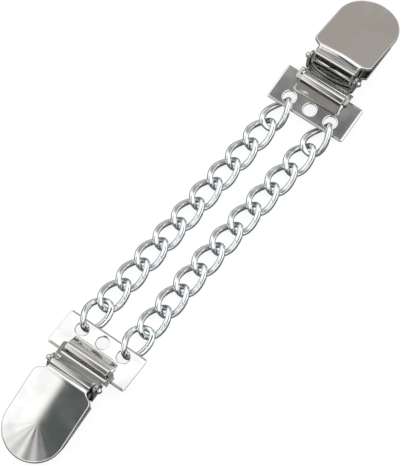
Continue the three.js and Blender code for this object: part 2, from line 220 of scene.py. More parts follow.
connect(
    tree,
    (direction, "Generated", place, 0),
    (place, "Z", front, "Fac"),
    (place, "Z", back, "Fac"),
    (place, "Y", behind, "Value"),
    (behind, "Result", ends, "Factor"),
    (front, "Color", ends, "A"),
    (back, "Color", ends, "B"),
    (place, "Z", sides, "Fac"),
    (place, "X", to_left, 0),
    (place, "X", to_right, 0),
    (to_left, 0, aside, 0),
    (to_right, 0, aside, 1),
    (aside, 0, beside, "Value"),
    (beside, "Result", walls, "Factor"),
    (ends, "Result", walls, "A"),
    (sides, "Color", walls, "B"),
    (direction, "Generated", to_card, 0),
    (to_card, "Value", at_card, "Value"),
    (place, "Z", under_top, "Value"),
    (at_card, "Result", on_card, 0),
    (under_top, "Result", on_card, 1),
    (on_card, 0, carded, "Factor"),
    (walls, "Result", carded, "A"),
    (direction, "Generated", sideways, 0),
    (sideways, "Value", across, "Value"),
    (place, "Y", along, "Value"),
    (across, "Result", gap, "Fac"),
    (along, "Result", gap_end, "Fac"),
    (gap, "Color", closed, "A"),
    (gap_end, "Color", closed, "B"),
    (carded, "Result", shaded, "A"),
    (closed, "Result", shaded, "B"),
    (ray, "Is Camera Ray", seen, "Factor"),
    (shaded, "Result", seen, "A"),
    (seen, "Result", background, "Color"),
    (background, "Background", output, "Surface"),
)


# Floor: one sheet of white paper under the clip. It takes the soft shadow of the metal, and a
# little light of its own, seen by the lens alone, brings it up to white. The metal sees it darker.
FLOOR_HALF = 1500
FLOOR_LEVEL = -0.05
PAPER = (0.26, 0.26, 0.26, 1)
PAPER_IN_METAL = (0.28, 0.28, 0.28, 1)
PAPER_GLOW = 0.85

corners = np.array([(-1, -1), (1, -1), (1, 1), (-1, 1)]) * FLOOR_HALF
floor_mesh = bpy.data.meshes.new("floor")
floor_points = np.column_stack([corners, np.full(len(corners), FLOOR_LEVEL)]) * METRES
floor_mesh.from_pydata(floor_points.tolist(), [], [(0, 1, 2, 3)])
floor = bpy.data.objects.new("floor", floor_mesh)
scene.collection.objects.link(floor)

paper = bpy.data.materials.new("floor_paper")
paper.use_nodes = True
tree = paper.node_tree
tree.nodes.clear()
matt = add_node(tree, "ShaderNodeBsdfDiffuse", (-200, 0))
ray = add_node(tree, "ShaderNodeLightPath", (-800, -200))
tone = add_node(tree, "ShaderNodeMix", (-400, 0), data_type="RGBA")
tone.inputs["A"].default_value = PAPER
tone.inputs["B"].default_value = PAPER_IN_METAL
either = add_node(tree, "ShaderNodeMath", (-600, -200), operation="MAXIMUM")
glow_level = add_node(tree, "ShaderNodeMath", (-400, -200), operation="MULTIPLY")
glow_level.inputs[1].default_value = PAPER_GLOW
glow = add_node(tree, "ShaderNodeEmission", (-200, -200))
both = add_node(tree, "ShaderNodeAddShader", (0, 0))
output = add_node(tree, "ShaderNodeOutputMaterial", (200, 0))
connect(
    tree,
    (ray, "Is Camera Ray", either, 0),
    (ray, "Is Transmission Ray", either, 1),
    (ray, "Is Glossy Ray", tone, "Factor"),
    (tone, "Result", matt, "Color"),
    (either, 0, glow_level, 0),
    (glow_level, 0, glow, "Strength"),
    (matt, 0, both, 0),
    (glow, 0, both, 1),
    (both, 0, output, "Surface"),
)
floor_mesh.materials.append(paper)


# Back plates: the lower jaw of each clip, one blank of steel sheet stamped out with its slot,
# folded up into two pierced ears and turned up into teeth at the round end, then nickel plated.
SHEET = 0.8
BACK_HALF_WIDTH = 9
BACK_ROUND_CENTRE = 23.6
LOOP_END = -0.85
LOOP_CORNER = 1
BAR_HALF_WIDTH = 0.75
SLOT_END = 2.6
SLOT_HALF_WIDTH = 8
SLOT_CORNER = 0.5
COINING = 0.2
COINING_END = 3
COINING_SLOPE = 0.1
EAR_OUTSIDE = 8.3
EAR_BEND = 1.3
EAR_START = 3.9
EAR_START_RISE = 0.8
EAR_END = 9.3
EAR_END_RISE = 0.6
EAR_RELIEF = 0.4
EAR_TOP_RADIUS = 2
EAR_TOP_FROM = math.radians(170)
EAR_TOP_TO = math.radians(5)
SHOULDER = 1.6
TEETH = 9
TOOTH_HEIGHT = 0.7
TOOTH_WALL = 0.75
TOOTH_VALLEY = 0.05
TOOTH_EDGE = 0.16
RIM_START = math.radians(14)
RIM_INSET = 0.02
RIM_FOOT = 2
PIN_ALONG = 5.8
PIN_UP = 4
PIN_HOLE = 0.75
STAMPED_EDGE = 0.13
EDGE_STEPS = 5
MITRE_LIMIT = 0.35
FILL_MARGIN = 0.4
SLIVER = 1e-5
WELD_METRES = 2e-7
NO_LENGTH_METRES = 1e-7
SHEET_SCALES = {"Smear Scale": 160, "Hairline Scale": 900, "Swell Scale": 110}

SIDES = {"far": 1, "near": -1}
HANGER_TILT = math.radians(5.5)
HANGER_HEIGHT = 3.1
EDGE_STRIP_MIDDLE = 0.65
HINGE_INSET = 10.2
HINGE_LIFT = 1.4
JAWS_TURN = {"far": math.radians(1.3), "near": 0}
JAWS_ASIDE = {"far": -0.45, "near": 0}
CHAIN_LEAN = math.radians(4.5)
CHAIN_HEIGHT = 2.2
LINK_PITCH = 8.2
LINKS_PER_CHAIN = 11
STRIP_TO_LINK = 3.45

flat_half = (LINKS_PER_CHAIN - 2) / 2 * LINK_PITCH
end_reach = LINK_PITCH / 2 + STRIP_TO_LINK
end_climb = math.asin((HANGER_HEIGHT - CHAIN_HEIGHT) / end_reach)
chain_span = flat_half + end_reach * math.cos(end_climb)
clip_shift = chain_span * math.sin(CHAIN_LEAN)
clip_edge = chain_span * math.cos(CHAIN_LEAN)
strip_to_hinge = HINGE_INSET - EDGE_STRIP_MIDDLE
hinge_along = strip_to_hinge * math.cos(HANGER_TILT) - HINGE_LIFT * math.sin(HANGER_TILT)
hinge_up = (HANGER_HEIGHT + strip_to_hinge * math.sin(HANGER_TILT)
            + HINGE_LIFT * math.cos(HANGER_TILT))
jaw_reach = BACK_ROUND_CENTRE + BACK_HALF_WIDTH
jaw_fall = (math.asin(hinge_up / math.hypot(jaw_reach, SHEET / 2))
            - math.atan2(SHEET / 2, jaw_reach))
ear_flank = EAR_OUTSIDE - EAR_BEND
bend_middle = EAR_BEND - SHEET / 2
bend_length = bend_middle * math.pi / 2
ear_unfolded = ear_flank + bend_length - EAR_BEND


def tipped(points, angle):
    """Points turned about the X axis by an angle."""
    x, y, z = points.T
    return np.stack([
        x,
        y * math.cos(angle) - z * math.sin(angle),
        y * math.sin(angle) + z * math.cos(angle),
    ], axis=1)


def leaned(points, angle):
    """Points turned about the Z axis by an angle."""
    x, y, z = points.T
    return np.stack([
        x * math.cos(angle) - y * math.sin(angle),
        x * math.sin(angle) + y * math.cos(angle),
        z,
    ], axis=1)


def in_jaws(points, end):
    """Points of a jaw, turned a little in its loose hinge, tipped down by the fall of the jaw and
    carried to its place in the hinge."""
    fallen = tipped(leaned(points, JAWS_TURN[end]), -jaw_fall)
    return fallen + (JAWS_ASIDE[end], hinge_along, hinge_up)


def on_clip(points, end):
    """Points of a clip carried to its end of the chains; the near clip is turned half round."""
    turn = SIDES[end]
    return points * (turn, turn, 1) + (turn * clip_shift, turn * clip_edge, 0)


def arc(along, up, radius, start, finish, steps):
    """Points on a circle about (along, up) from one angle to another."""
    angle = np.linspace(start, finish, steps)
    return np.stack([along + radius * np.cos(angle), up + radius * np.sin(angle)], axis=1)


def round_hole(along, up, radius, sides):
    """A whole circle about (along, up), clockwise."""
    return arc(along, up, radius, 2 * math.pi, 0, sides + 1)[:-1]


def rounded_box(left, right, front, back, corner):
    """A rectangle with four quarter circles for corners, anticlockwise."""
    quarter = math.pi / 2
    return np.concatenate([
        arc(right - corner, front + corner, corner, -quarter, 0, steps=9),
        arc(right - corner, back - corner, corner, 0, quarter, steps=9),
        arc(left + corner, back - corner, corner, quarter, 2 * quarter, steps=9),
        arc(left + corner, front + corner, corner, 2 * quarter, 3 * quarter, steps=9),
    ])


def evenly(loop, step):
    """A closed line with its corners kept and each side divided into equal parts that are no
    longer than a step."""
    side = np.roll(loop, -1, axis=0) - loop
    parts = np.linalg.norm(side, axis=1) / step
    parts = np.maximum(np.ceil(parts - ROUNDING), 1).astype(int)
    part = np.arange(parts.sum()) - np.repeat(np.cumsum(parts) - parts, parts)
    share = part / np.repeat(parts, parts)
    return np.repeat(loop, parts, axis=0) + np.repeat(side, parts, axis=0) * share[:, None]


def grid_faces(rows, columns, closed_rows=False, closed_columns=False):
    """Four-cornered faces of a grid of points, row by row, joined up where a direction is closed."""
    row = np.arange(rows if closed_rows else rows - 1)[:, None]
    column = np.arange(columns if closed_columns else columns - 1)[None, :]
    next_row = (row + 1) % rows
    next_column = (column + 1) % columns
    corners = [row * columns + column, row * columns + next_column,
               next_row * columns + next_column, next_row * columns + column]
    return np.stack([c.ravel() for c in corners], axis=1)


def within(points, loops):
    """Which points lie in the material: a ray from each point crosses the loops an odd number of
    times."""
    x, y = points[:, 0, None], points[:, 1, None]
    crossings = np.zeros(len(points), int)
    for loop in loops:
        after = np.roll(loop, -1, axis=0)
        spans = (loop[:, 1] > y) != (after[:, 1] > y)
        rise = np.where(after[:, 1] == loop[:, 1], 1, after[:, 1] - loop[:, 1])
        meets = loop[:, 0] + (y - loop[:, 1]) * (after[:, 0] - loop[:, 0]) / rise
        crossings += (spans & (x < meets)).sum(axis=1)
    return crossings % 2 == 1


def round_edge(thickness, edge):
    """The edge of a sheet from its under face to its top, as insets and heights: a quarter
    circle, a straight and a quarter circle."""
    half = thickness / 2
    quarter = np.linspace(0, math.pi / 2, EDGE_STEPS)
    sine, cosine = edge * (1 - np.sin(quarter)), edge * (1 - np.cos(quarter))
    inset = np.concatenate([sine, cosine])
    height = np.concatenate([-half + cosine, half - sine])
    return np.stack([inset, height], axis=1)


def joined(surfaces, curved=None):
    """Several surfaces as one: points, faces and, for each face, whether it is a broad face of the
    sheet. Broad faces are those after the first curved ones, or as the surfaces say."""
    starts = np.cumsum([0] + [len(surface[0]) for surface in surfaces])
    faces = [[corner + int(start) for corner in face]
             for start, surface in zip(starts, surfaces) for face in surface[1]]
    broad = np.concatenate([surface[2] if len(surface) > 2 else np.zeros(len(surface[1]), bool)
                            for surface in surfaces])
    if curved is not None:
        broad = np.arange(len(faces)) >= curved
    return np.concatenate([surface[0] for surface in surfaces]), faces, broad


def stamped_blank(loops, profile, inside=None, hole_profile=None):
    """A flat blank: round each loop runs a wall with the profile of an edge, and the two faces are
    filled between the loops set in as far as the profile's ends. The middle of the sheet is height
    0. The outside comes first and runs anticlockwise, holes run clockwise."""
    half = profile[-1, 1]
    surfaces = []
    face_points = []
    face_edges = []
    count = 0
    for number, loop in enumerate(loops):
        inset, height = (profile if hole_profile is None or number == 0 else hole_profile).T
        along = np.roll(loop, -1, axis=0) - loop
        along /= np.linalg.norm(along, axis=1)[:, None]
        outward = np.stack([along[:, 1], -along[:, 0]], axis=1)
        before = np.roll(outward, 1, axis=0)
        together = np.maximum(1 + np.sum(outward * before, axis=1), MITRE_LIMIT)
        mitre = (outward + before) / together[:, None]
        flat = loop[None] - mitre[None] * inset[:, None, None]
        levels = np.broadcast_to(height[:, None], flat.shape[:2])
        wall = np.concatenate([flat, levels[..., None]], axis=2).reshape(-1, 3)
        surfaces.append((wall, grid_faces(len(height), len(loop), closed_columns=True).tolist()))
        face_points.append(flat[-1])
        order = np.arange(len(loop))
        face_edges.append(np.stack([order, np.roll(order, -1)], axis=1) + count)
        count += len(loop)
    if inside is not None:
        face_points.append(inside)
    points = np.concatenate(face_points)
    edges = np.concatenate(face_edges)
    filled = delaunay_2d_cdt(points.tolist(), edges.tolist(), [], 0, ROUNDING, False)
    triangles = np.array(filled[2])
    first, second, third = points[triangles].transpose(1, 2, 0)
    area = (second - first)[0] * (third - first)[1] - (second - first)[1] * (third - first)[0]
    middles = points[triangles].mean(axis=1)
    triangles = triangles[(area > SLIVER) & within(middles, face_points[:len(loops)])]
    top = np.column_stack([points, np.full(len(points), half)])
    under = np.column_stack([points, np.full(len(points), -half)])
    walls = joined(surfaces)
    return joined([walls, (top, triangles.tolist()), (under, triangles[:, ::-1].tolist())],
                  len(walls[1]))


def crease(mesh):
    """Marks as sharp each edge where a broad face of the sheet meets a rounded edge, so that the
    face stays evenly lit up to its edge."""
    broad = np.zeros(len(mesh.polygons), np.int32)
    mesh.attributes["broad"].data.foreach_get("value", broad)
    sides = np.zeros(len(mesh.polygons), np.int32)
    mesh.polygons.foreach_get("loop_total", sides)
    edge_of_corner = np.zeros(len(mesh.loops), np.int32)
    mesh.loops.foreach_get("edge_index", edge_of_corner)
    kind = np.repeat(broad, sides)
    some = np.zeros(len(mesh.edges), np.int32)
    every = np.ones(len(mesh.edges), np.int32)
    np.maximum.at(some, edge_of_corner, kind)
    np.minimum.at(every, edge_of_corner, kind)
    sharp = mesh.attributes.new("sharp_edge", "BOOLEAN", "EDGE")
    sharp.data.foreach_set("value", some != every)
    mesh.attributes.remove(mesh.attributes["broad"])


def metal_piece(name, surface, material, node):
    """Makes one piece from points in millimetres: seams are welded, broad faces stay flat beside
    their rounded edges, and the piece stands for its node and moves with that node's body."""
    points, faces, broad = surface
    mesh = bpy.data.meshes.new(name)
    mesh.from_pydata((points * METRES).tolist(), [], faces)
    broad_faces = mesh.attributes.new("broad", "INT", "FACE")
    broad_faces.data.foreach_set("value", broad.astype(np.int32))
    shape = bmesh.new()
    shape.from_mesh(mesh)
    bmesh.ops.remove_doubles(shape, verts=shape.verts, dist=WELD_METRES)
    bmesh.ops.dissolve_degenerate(shape, edges=shape.edges, dist=NO_LENGTH_METRES)
    shape.to_mesh(mesh)
    shape.free()
    mesh.shade_smooth()
    crease(mesh)
    mesh.materials.append(material)
    made = bpy.data.objects.new(name, mesh)
    scene.collection.objects.link(made)
    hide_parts(node)
    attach(made, frame["nodes"][node]["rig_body"])
    return made


def plating_marks():
    """A node group for plated sheet and wire. Broad noise gives smears, noise drawn out along the
    first axis gives the hairlines of polishing, and both with a slow swell make up the height."""
    group = bpy.data.node_groups.new("plating_marks", "ShaderNodeTree")
    face = group.interface
    face.new_socket("Vector", in_out="INPUT", socket_type="NodeSocketVector")
    for name in SHEET_SCALES:
        face.new_socket(name, in_out="INPUT", socket_type="NodeSocketFloat")
    for name in ("Smear", "Height"):
        face.new_socket(name, in_out="OUTPUT", socket_type="NodeSocketFloat")
    given = add_node(group, "NodeGroupInput", (-1000, 0))
    smear = add_node(group, "ShaderNodeTexNoise", (-700, 300))
    smear.inputs["Detail"].default_value = 4
    smear_range = ranged(group, 0.42, 0.72, (-450, 300))
    drawn = add_node(group, "ShaderNodeMapping", (-850, 0))
    drawn.inputs["Scale"].default_value = (0.03, 1, 1)
    hairline = add_node(group, "ShaderNodeTexNoise", (-700, 0))
    hairline.inputs["Detail"].default_value = 5
    hairline.inputs["Roughness"].default_value = 0.7
    swell = add_node(group, "ShaderNodeTexNoise", (-700, -300))
    swell.inputs["Detail"].default_value = 1
    fine = add_node(group, "ShaderNodeMath", (-450, 0), operation="MULTIPLY")
    fine.inputs[1].default_value = 0.05
    height = add_node(group, "ShaderNodeMath", (-250, -100), operation="ADD")
    put = add_node(group, "NodeGroupOutput", (0, 0))
    connect(
        group,
        (given, "Vector", smear, "Vector"),
        (given, "Smear Scale", smear, "Scale"),
        (given, "Vector", drawn, "Vector"),
        (drawn, "Vector", hairline, "Vector"),
        (given, "Hairline Scale", hairline, "Scale"),
        (given, "Vector", swell, "Vector"),
        (given, "Swell Scale", swell, "Scale"),
        (smear, "Fac", smear_range, "Value"),
        (hairline, "Fac", fine, 0),
        (fine, 0, height, 0),
        (swell, "Fac", height, 1),
        (smear_range, "Result", put, "Smear"),
        (height, 0, put, "Height"),
    )
    return group


marks = plating_marks()


def plated(name, bright, dull, smooth, rough, swell, scales=SHEET_SCALES, coordinates="Object",
           turn=(0, 0, math.pi / 2)):
    """Plated metal: smears mix the bright tone with the dull one and roughen the polish, and the
    hairlines and swell of the sheet bend its reflections."""
    material = bpy.data.materials.new(name)
    material.use_nodes = True
    tree = material.node_tree
    metal = tree.nodes["Principled BSDF"]
    metal.inputs["Metallic"].default_value = 1
    place = add_node(tree, "ShaderNodeTexCoord", (-1100, 0))
    laid = add_node(tree, "ShaderNodeMapping", (-900, 0))
    laid.inputs["Rotation"].default_value = turn
    effect = add_node(tree, "ShaderNodeGroup", (-700, 0), node_tree=marks)
    for socket, scale in scales.items():
        effect.inputs[socket].default_value = scale
    tone = add_node(tree, "ShaderNodeMix", (-350, 200), data_type="RGBA")
    tone.inputs["A"].default_value = (*bright, 1)
    tone.inputs["B"].default_value = (*dull, 1)
    polish = add_node(tree, "ShaderNodeMapRange", (-350, 0))
    polish.inputs["To Min"].default_value = smooth
    polish.inputs["To Max"].default_value = rough
    bump = add_node(tree, "ShaderNodeBump", (-350, -250))
    bump.inputs["Strength"].default_value = swell
    bump.inputs["Distance"].default_value = 0.0002
    connect(
        tree,
        (place, coordinates, laid, "Vector"),
        (laid, "Vector", effect, "Vector"),
        (effect, "Smear", tone, "Factor"),
        (effect, "Smear", polish, "Value"),
        (effect, "Height", bump, "Height"),
        (tone, "Result", metal, "Base Color"),
        (polish, "Result", metal, "Roughness"),
        (bump, "Normal", metal, "Normal"),
    )
    return material


# The back and grip plates get a darker nickel tone than the other plated sheet. This is painted
# shade for the shadowed hollow between the jaws and under the lever.
jaw_nickel_painted_shade = plated("jaw_nickel_painted_shade", bright=(0.54, 0.53, 0.51), dull=(0.42, 0.41, 0.39),
                    smooth=0.16, rough=0.28, swell=0.25)


def back_blank_outline():
    """The blank of the back plate before folding: the loop, the two ears laid out flat beyond
    their bend lines, and the round end. An ear's length on the flat is the bend's middle arc and
    then its height above the bend."""
    ear = np.concatenate([
        [(EAR_START, EAR_START_RISE + SHEET)],
        arc(PIN_ALONG, PIN_UP, EAR_TOP_RADIUS, EAR_TOP_FROM, EAR_TOP_TO, steps=24),
        [(EAR_END, EAR_END_RISE + SHEET)],
    ])
    right = np.concatenate([
        arc(BACK_HALF_WIDTH - LOOP_CORNER, LOOP_END + LOOP_CORNER, LOOP_CORNER,
            -math.pi / 2, 0, steps=9),
        [(BACK_HALF_WIDTH, EAR_START - EAR_RELIEF)],
        [(ear_flank, EAR_START - EAR_RELIEF), (ear_flank, EAR_START)],
        np.stack([ear_unfolded + ear[:, 1], ear[:, 0]], axis=1),
        [(ear_flank, EAR_END), (ear_flank, EAR_END + EAR_RELIEF)],
        [(BACK_HALF_WIDTH, EAR_END + SHOULDER)],
        arc(0, BACK_ROUND_CENTRE, BACK_HALF_WIDTH, 0, math.pi / 2, steps=40),
    ])
    left = right[:-1][::-1] * (-1, 1)
    return np.concatenate([right, left])


def folded(points):
    """The ears turned up: beyond the flank the flat length becomes an angle round the bend, up to
    a right angle, and after that height. The middle of the sheet keeps its length, and the loop and
    the round end, past the reliefs, stay flat."""
    x, y, z = points.T
    ear = (y > EAR_START - EAR_RELIEF / 2) & (y < EAR_END + EAR_RELIEF / 2)
    beyond = np.where(ear, np.maximum(np.abs(x) - ear_flank, 0), 0)
    angle = np.minimum(beyond / bend_middle, math.pi / 2)
    radius = bend_middle - z
    bent = np.minimum(np.abs(x), ear_flank) + radius * np.sin(angle)
    across = np.where(ear, bent, np.abs(x))
    up = bend_middle - radius * np.cos(angle) + np.maximum(beyond - bend_length, 0)
    return np.stack([np.sign(x) * across, y, up], axis=1)


def coined(points):
    """The loop pressed thinner from below: under it the lower face rises by the coining."""
    x, y, z = points.T
    share = np.clip((COINING_END + COINING_SLOPE - y) / (2 * COINING_SLOPE), 0, 1)
    flat = np.abs(z) < SHEET / 2 + ROUNDING
    return np.stack([x, y, z + COINING * share * flat * (SHEET / 2 - z) / SHEET], axis=1)


def toothed_rim():
    """The upturned rim: a wall section carried round the end of the jaw, whose top follows the
    teeth: full height, falling at one in one to the valley of each notch."""
    angle = np.linspace(RIM_START, math.pi - RIM_START, 420)
    pitch = (math.pi - 2 * RIM_START) / TEETH
    to_notch = np.abs((angle - RIM_START + pitch / 2) % pitch - pitch / 2)
    at_end = np.minimum(angle - RIM_START, math.pi - RIM_START - angle) < pitch / 2
    to_notch = np.where(at_end, pitch, to_notch) * BACK_HALF_WIDTH
    top = SHEET / 2 + np.minimum(TOOTH_HEIGHT, TOOTH_VALLEY + to_notch)
    outer = BACK_HALF_WIDTH - RIM_INSET
    inner = BACK_HALF_WIDTH - TOOTH_WALL
    quarter = np.linspace(0, math.pi / 2, EDGE_STEPS)
    sine, cosine = TOOTH_EDGE * (1 - np.sin(quarter)), TOOTH_EDGE * (1 - np.cos(quarter))
    reach = np.concatenate([[outer], outer - cosine, inner + sine, [inner]])
    drop = np.concatenate([[RIM_FOOT], sine, cosine, [RIM_FOOT]])
    height = np.maximum(top[:, None] - drop[None], 0)
    points = np.stack([
        reach[None] * np.cos(angle)[:, None],
        BACK_ROUND_CENTRE + reach[None] * np.sin(angle)[:, None],
        height,
    ], axis=2)
    faces = grid_faces(*height.shape, closed_columns=True)[:, ::-1].tolist()
    across = height.shape[1]
    last = len(angle) * across
    faces += [list(range(across)), list(range(last - 1, last - across - 1, -1))]
    return points.reshape(-1, 3), faces


def back_plate():
    """The folded blank with the coined loop, and the toothed rim standing on its round end."""
    slot = rounded_box(-SLOT_HALF_WIDTH, SLOT_HALF_WIDTH, BAR_HALF_WIDTH, SLOT_END, SLOT_CORNER)
    holes = [round_hole(side * (ear_unfolded + PIN_UP), PIN_ALONG, PIN_HOLE, sides=32)
             for side in (-1, 1)]
    loops = [evenly(back_blank_outline(), step=0.4), evenly(slot[::-1], step=0.4), *holes]
    side, bend, row = np.meshgrid(
        (-1, 1),
        np.linspace(0, bend_length, 8),
        np.linspace(EAR_START + FILL_MARGIN, EAR_END - FILL_MARGIN, 10),
        indexing="ij",
    )
    ear_fill = np.stack([side * (ear_flank + bend), row], axis=-1).reshape(-1, 2)
    half = BACK_HALF_WIDTH - FILL_MARGIN
    row, wide = np.meshgrid(
        (COINING_END - COINING_SLOPE, COINING_END + COINING_SLOPE),
        np.linspace(-half, half, 30),
        indexing="ij",
    )
    coin_fill = np.stack([wide, row], axis=-1).reshape(-1, 2)
    points, *rest = stamped_blank(loops, round_edge(SHEET, STAMPED_EDGE),
                                  np.concatenate([ear_fill, coin_fill]))
    return joined([(coined(folded(points)), *rest), toothed_rim()])


for end in SIDES:
    points, *rest = back_plate()
    metal_piece(f"{end}_lower_jaw", (on_clip(in_jaws(points, end), end), *rest), jaw_nickel_painted_shade,
                f"{end}_back_plate")


# Hanger plates: the wide end plates, stamped with three holes. A tongue is lanced from the middle,
# bent up and curled over the bar of the back plate's loop, and that curl is the hinge.
HANGER_WIDTH = 27
HANGER_DEPTH = 11.9
HANGER_SHEET = 0.9
HANGER_EDGE = 0.12
HANGER_CORNER = 0.8
BEVEL_WIDTH = 0.6
HOLE_BEVEL = 0.3
BEVEL_FALL = 0.4
HOLE_RADIUS = 2
HOLE_SPACING = 7.3
HOLE_INSET = 3.3
TONGUE_WIDTH = 14.8
TONGUE_EDGE = 0.2
TONGUE_ROOT = 6.3
TONGUE_LEAVES = ((-0.6, 0), (0, 0), (0.45, 0.18))
TONGUE_FOLD = ((8.5, 1.95), (9.5, 2.57), (10.5, 2.82), (11.5, 2.45), (11.85, 1.17))
WINDOW_END = 9.9
WINDOW_GAP = 0.25
WINDOW_CORNER = 0.4

sheet_nickel = plated("sheet_nickel", bright=(0.80, 0.79, 0.77), dull=(0.70, 0.68, 0.65),
                      smooth=0.10, rough=0.20, swell=0.25)


def bent_strip(line, half_width, thickness, edge):
    """A strip of sheet: a rectangle with rounded corners, as wide as the strip and as thick as
    the sheet, carried along a line in Y and Z, square to it. Both ends are closed."""
    along = np.gradient(line, axis=0)
    along /= np.linalg.norm(along, axis=1)[:, None]
    side = np.stack([-along[:, 1], along[:, 0]], axis=1)
    section = rounded_box(-half_width, half_width, -thickness / 2, thickness / 2, edge)
    place = line[:, None] + side[:, None] * section[None, :, 1:]
    across = np.broadcast_to(section[None, :, :1], (*place.shape[:2], 1))
    points = np.concatenate([across, place], axis=2)
    rows, columns = points.shape[:2]
    faces = grid_faces(rows, columns, closed_columns=True)[:, ::-1].tolist()
    last = (rows - 1) * columns
    faces += [list(range(columns)), list(range(last, last + columns))[::-1]]
    return points.reshape(-1, 3), faces, np.arange(len(faces)) >= len(faces) - 2


def smoothed(line, step, reach):
    """A line with its corners eased: points at even steps, averaged over a short reach."""
    lengths = np.concatenate([[0], np.cumsum(np.linalg.norm(np.diff(line, axis=0), axis=1))])
    ruler = np.linspace(0, lengths[-1], int(lengths[-1] / step))
    even = np.stack([np.interp(ruler, lengths, column) for column in line.T], axis=1)
    window = np.ones(2 * reach + 1) / (2 * reach + 1)
    padded = np.concatenate([
        2 * even[0] - even[reach:0:-1],
        even,
        2 * even[-1] - even[-2:-reach - 2:-1],
    ])
    return np.stack([np.convolve(column, window, "valid") for column in padded.T], axis=1)


def bevelled_edge(width):
    """The edge of the hanger plate as insets and heights: a small corner below, a straight and a
    bevel above, with eased corners."""
    half = HANGER_SHEET / 2
    corners = np.array([
        (width, -half),
        (HANGER_EDGE, -half),
        (0, HANGER_EDGE - half),
        (0, half - BEVEL_FALL * width),
        (width, half),
    ])
    return smoothed(corners, step=0.04, reach=2)


def hanger_plate():
    """The stamped plate with its holes and window, bevelled along every upper edge, and the tongue
    as a bent strip that leaves the plate at its root, slopes up and folds over the hinge line."""
    half = HANGER_WIDTH / 2
    opening = TONGUE_WIDTH / 2 + WINDOW_GAP
    plate = rounded_box(-half, half, 0, HANGER_DEPTH, HANGER_CORNER)
    window = rounded_box(-opening, opening, TONGUE_ROOT, WINDOW_END, WINDOW_CORNER)
    holes = [round_hole(place * HOLE_SPACING, HOLE_INSET, HOLE_RADIUS, sides=64)
             for place in (-1, 0, 1)]
    loops = [evenly(plate, step=0.5), evenly(window[::-1], step=0.5), *holes]
    blank = stamped_blank(loops, bevelled_edge(BEVEL_WIDTH), hole_profile=bevelled_edge(HOLE_BEVEL))
    root = np.array(TONGUE_LEAVES) + (TONGUE_ROOT, 0)
    line = smoothed(np.concatenate([root, TONGUE_FOLD]), step=0.06, reach=5)
    return joined([blank, bent_strip(line, TONGUE_WIDTH / 2, HANGER_SHEET, TONGUE_EDGE)])


for end in SIDES:
    points, *rest = hanger_plate()
    points = tipped(points - (0, EDGE_STRIP_MIDDLE, 0), HANGER_TILT) + (0, 0, HANGER_HEIGHT)
    metal_piece(f"{end}_chain_plate", (on_clip(points, end), *rest), sheet_nickel,
                f"{end}_hanger_plate")


# Grip plates: the sprung upper jaws, arched strips of nickel plated spring steel with a round
# front and heel. Each lies between the ears and is pressed down by the cams of its lever.
GRIP_SHEET = 0.7
GRIP_HALF_WIDTH = 7.1
GRIP_START = 4
GRIP_HEEL = 1.2
GRIP_ROUND_CENTRE = 23.6
GRIP_REST = 1.45
GRIP_ARCH = 1.7
ARCH_START = 8
ARCH_TO_FRONT = 2
FILL_HALF_WIDTH = 6.6
FILL_ACROSS = 0.6
FILL_ALONG = 0.5


def grip_plate():
    """A blank with a half circle for its front and a parabola for its heel, lifted along its
    length by the square of a half sine wave."""
    wide = np.linspace(-GRIP_HALF_WIDTH, GRIP_HALF_WIDTH, 30)
    heel = GRIP_START + GRIP_HEEL * (wide / GRIP_HALF_WIDTH) ** 2
    plan = np.concatenate([
        np.stack([wide, heel], axis=1),
        arc(0, GRIP_ROUND_CENTRE, GRIP_HALF_WIDTH, 0, math.pi, steps=60),
    ])
    front = GRIP_ROUND_CENTRE + GRIP_HALF_WIDTH
    x, y = np.meshgrid(
        np.arange(-FILL_HALF_WIDTH, FILL_HALF_WIDTH + FILL_ACROSS / 2, FILL_ACROSS),
        np.arange(GRIP_START + FILL_ACROSS, front - FILL_ALONG, FILL_ALONG),
    )
    clear = np.hypot(x, np.maximum(y - GRIP_ROUND_CENTRE, 0)) < GRIP_HALF_WIDTH - FILL_MARGIN
    clear &= y > GRIP_START + GRIP_HEEL * (x / GRIP_HALF_WIDTH) ** 2 + FILL_MARGIN
    inside = np.stack([x[clear], y[clear]], axis=1)
    edge = round_edge(GRIP_SHEET, STAMPED_EDGE)
    points, *rest = stamped_blank([evenly(plan, step=0.4)], edge, inside)
    share = (points[:, 1] - ARCH_START) / (front - ARCH_TO_FRONT - ARCH_START)
    lift = GRIP_REST + GRIP_ARCH * np.sin(math.pi * np.clip(share, 0, 1)) ** 2
    points[:, 2] += lift - SHEET / 2
    return points, *rest


for end in SIDES:
    points, *rest = grip_plate()
    metal_piece(f"{end}_upper_jaw", (on_clip(in_jaws(points, end), end), *rest), jaw_nickel_painted_shade,
                f"{end}_grip_plate")


# Pivot pins: turned nickel plated steel pins across each clip, through the ears and the lever's
# cams, with a domed head riveted up outside each ear.
PIN_RADIUS = 0.6
PIN_HEAD_RADIUS = 0.95
PIN_HEAD_LENGTH = 1.25
PIN_HEAD_EDGE = 0.06
HEAD_CYLINDER = 0.3
HEAD_PLAY = 0.1


